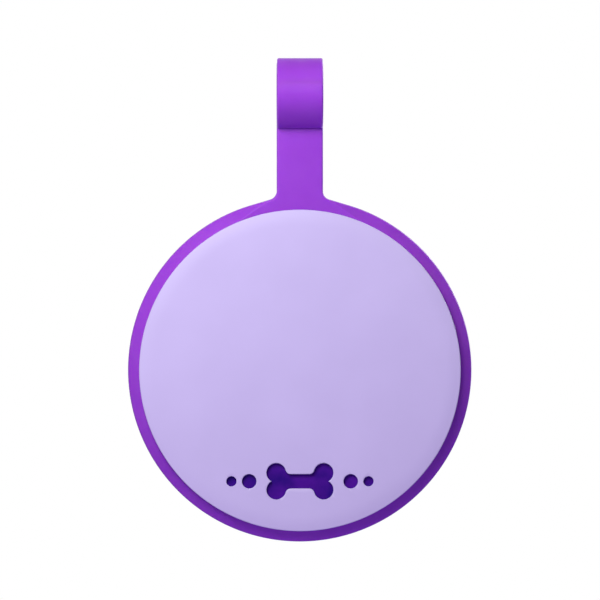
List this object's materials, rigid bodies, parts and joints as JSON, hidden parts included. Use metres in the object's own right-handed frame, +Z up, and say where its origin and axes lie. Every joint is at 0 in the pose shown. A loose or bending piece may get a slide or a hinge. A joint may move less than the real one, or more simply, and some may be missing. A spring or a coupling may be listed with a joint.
{
  "type": "round pet tag",
  "caption": "Round pet tag: a soft silicone holder with a strap and a loop that opens for a collar ring, and a two-ply marked disc that pops out of its rim.",
  "frame": {"origin": "centre of the loop's opening, where the tag hangs on a collar ring", "axes": "+X across the tag and along the loop's opening, +Y from the face to the back, +Z up along the strap"},
  "size_m": [0.0406, 0.0085, 0.0572],
  "materials": {
    "purple_silicone": "matte moulded silicone",
    "violet_core": "satin plastic core",
    "lavender_face": "satin plastic face"
  },
  "bodies": {
    "holder": {"silicone_holder": "purple_silicone", "rim_lip": "purple_silicone"},
    "tongue": {"loop_tongue": "purple_silicone"},
    "disc": {"disc_core": "violet_core", "disc_face": "lavender_face"}
  },
  "joints": [
    {"name": "loop_open", "type": "hinge", "parent": "holder", "child": "tongue", "pos_m": [0, -0.0001, 0.0042], "axis": [-1, 0, 0], "range_deg": [0, 45], "stiffness_Nm_per_rad": 0.00035, "springref_deg": -8.59},
    {"name": "disc_release", "type": "slide", "parent": "holder", "child": "disc", "axis": [0, -1, 0], "range_m": [0, 0.012], "deforming": ["rim_lip"]}
  ]
}
